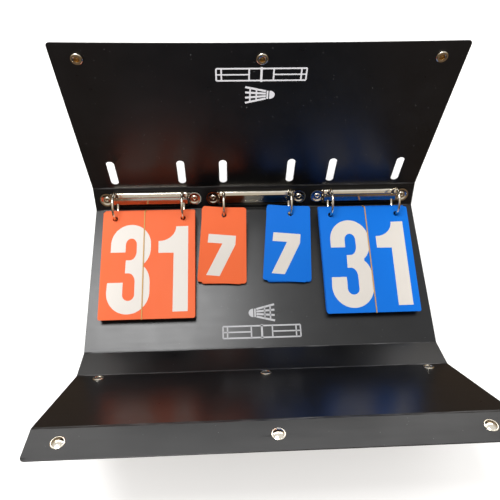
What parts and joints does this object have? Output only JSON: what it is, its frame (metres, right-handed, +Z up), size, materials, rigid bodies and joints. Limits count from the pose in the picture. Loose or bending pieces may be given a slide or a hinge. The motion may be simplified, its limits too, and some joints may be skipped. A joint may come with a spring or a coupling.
{
  "type": "folding flip scoreboard",
  "caption": "Folding table-top flip scoreboard: a creased plastic sheet case with ring mechanisms that hold red and blue number card decks.",
  "frame": {"origin": "centre of the front panel's underside, where the opened board lies on a table", "axes": "+Z up, +X along the creases to the right as the cards are read, +Y towards the ring mechanisms and the rear flap"},
  "size_m": [0.395, 0.3497, 0.212],
  "materials": {
    "black_sheet": "satin, finely grained polypropylene",
    "nickel": "bright nickel plating",
    "snap_metal": "bright nickel plating",
    "brass": "bright spring brass",
    "red_card": "satin printed card",
    "blue_card": "satin printed card",
    "amber_rubber": "natural rubber"
  },
  "bodies": {
    "front_panel": {"front_panel": "black_sheet"},
    "spine": {"spine_strip": "black_sheet", "left_cover_plate": "nickel", "middle_cover_plate": "nickel", "right_cover_plate": "nickel", "mechanism_rivets": "nickel"},
    "rear_flap": {"rear_flap": "black_sheet", "rear_flap_snap_sockets": "snap_metal", "rear_flap_socket_springs": "brass", "rear_flap_socket_posts": "snap_metal"},
    "lower_strip": {"lower_strip": "black_sheet"},
    "base_flap": {"base_flap": "black_sheet", "base_flap_snap_caps": "snap_metal", "base_flap_snap_studs": "snap_metal"},
    "closing_flap": {"closing_flap": "black_sheet", "closing_flap_snap_caps": "snap_metal", "closing_flap_snap_studs": "snap_metal"},
    "left_upper_jaw": {"left_upper_blade": "nickel", "left_upper_half_rings": "nickel"},
    "left_lower_jaw": {"left_lower_blade": "nickel", "left_lower_half_rings": "nickel"},
    "middle_upper_jaw": {"middle_upper_blade": "nickel", "middle_upper_half_rings": "nickel"},
    "middle_lower_jaw": {"middle_lower_blade": "nickel", "middle_lower_half_rings": "nickel"},
    "right_upper_jaw": {"right_upper_blade": "nickel", "right_upper_half_rings": "nickel"},
    "right_lower_jaw": {"right_lower_blade": "nickel", "right_lower_half_rings": "nickel"},
    "red_score_deck": {"red_score_front_card": "red_card", "red_score_cards": "red_card", "red_deck_band": "amber_rubber"},
    "red_set_pack": {"red_set_cards": "red_card"},
    "red_set_front": {"red_set_front_card": "red_card"},
    "blue_score_deck": {"blue_score_front_card": "blue_card", "blue_score_cards": "blue_card", "blue_deck_band": "amber_rubber"},
    "blue_set_pack": {"blue_set_cards": "blue_card"},
    "blue_set_front": {"blue_set_front_card": "blue_card"}
  },
  "joints": [
    {"name": "spine_fold", "type": "hinge", "parent": "front_panel", "child": "spine", "pos_m": [0, 0.0885, 0.0005], "axis": [-1, 0, 0], "range_deg": [0, 127]},
    {"name": "rear_flap_fold", "type": "hinge", "parent": "spine", "child": "rear_flap", "pos_m": [0, 0.10613, 0.02477], "axis": [-1, 0, 0], "range_deg": [-67, 84]},
    {"name": "lower_strip_fold", "type": "hinge", "parent": "front_panel", "child": "lower_strip", "pos_m": [0, -0.0885, 0.0005], "axis": [1, 0, 0], "range_deg": [-55, 139]},
    {"name": "base_flap_fold", "type": "hinge", "parent": "lower_strip", "child": "base_flap", "pos_m": [0, -0.11635, 0.02], "axis": [1, 0, 0], "range_deg": [-60, 27]},
    {"name": "closing_flap_fold", "type": "hinge", "parent": "base_flap", "child": "closing_flap", "pos_m": [0, -0.17503, 0.13037], "axis": [1, 0, 0], "range_deg": [-20, 76]},
    {"name": "left_ring_opening", "type": "hinge", "parent": "spine", "child": "left_upper_jaw", "pos_m": [0, 0.09981, 0.02015], "axis": [-1, 0, 0], "range_deg": [0, 16]},
    {"name": "left_lower_ring_opening", "type": "hinge", "parent": "spine", "child": "left_lower_jaw", "pos_m": [0, 0.09094, 0.00794], "axis": [-1, 0, 0], "range_deg": [-17, 1]},
    {"name": "middle_ring_opening", "type": "hinge", "parent": "spine", "child": "middle_upper_jaw", "pos_m": [0, 0.09981, 0.02015], "axis": [-1, 0, 0], "range_deg": [0, 16]},
    {"name": "middle_lower_ring_opening", "type": "hinge", "parent": "spine", "child": "middle_lower_jaw", "pos_m": [0, 0.09094, 0.00794], "axis": [-1, 0, 0], "range_deg": [-17, 1]},
    {"name": "right_ring_opening", "type": "hinge", "parent": "spine", "child": "right_upper_jaw", "pos_m": [0, 0.09981, 0.02015], "axis": [-1, 0, 0], "range_deg": [0, 16]},
    {"name": "right_lower_ring_opening", "type": "hinge", "parent": "spine", "child": "right_lower_jaw", "pos_m": [0, 0.09094, 0.00794], "axis": [-1, 0, 0], "range_deg": [-17, 1]},
    {"name": "red_score_flip", "type": "hinge", "parent": "left_upper_jaw", "child": "red_score_deck", "pos_m": [0, 0.08114, 0.02439], "axis": [-1, 0, 0], "range_deg": [0, 80]},
    {"name": "blue_score_flip", "type": "hinge", "parent": "right_upper_jaw", "child": "blue_score_deck", "pos_m": [0, 0.08114, 0.02439], "axis": [-1, 0, 0], "range_deg": [0, 80]},
    {"name": "red_set_flip", "type": "hinge", "parent": "middle_upper_jaw", "child": "red_set_pack", "pos_m": [0, 0.08114, 0.02439], "axis": [-1, 0, 0], "range_deg": [0, 75]},
    {"name": "red_set_front_flip", "type": "hinge", "parent": "red_set_pack", "child": "red_set_front", "pos_m": [0, 0.08114, 0.02439], "axis": [-1, 0, 0], "range_deg": [0, 70]},
    {"name": "blue_set_flip", "type": "hinge", "parent": "middle_upper_jaw", "child": "blue_set_pack", "pos_m": [0, 0.08114, 0.02439], "axis": [-1, 0, 0], "range_deg": [0, 75]},
    {"name": "blue_set_front_flip", "type": "hinge", "parent": "blue_set_pack", "child": "blue_set_front", "pos_m": [0, 0.08114, 0.02439], "axis": [-1, 0, 0], "range_deg": [0, 70]}
  ],
  "couplings": [
    {"joint": "left_lower_ring_opening", "follows": "left_ring_opening", "ratio": -1},
    {"joint": "middle_lower_ring_opening", "follows": "middle_ring_opening", "ratio": -1},
    {"joint": "right_lower_ring_opening", "follows": "right_ring_opening", "ratio": -1}
  ]
}
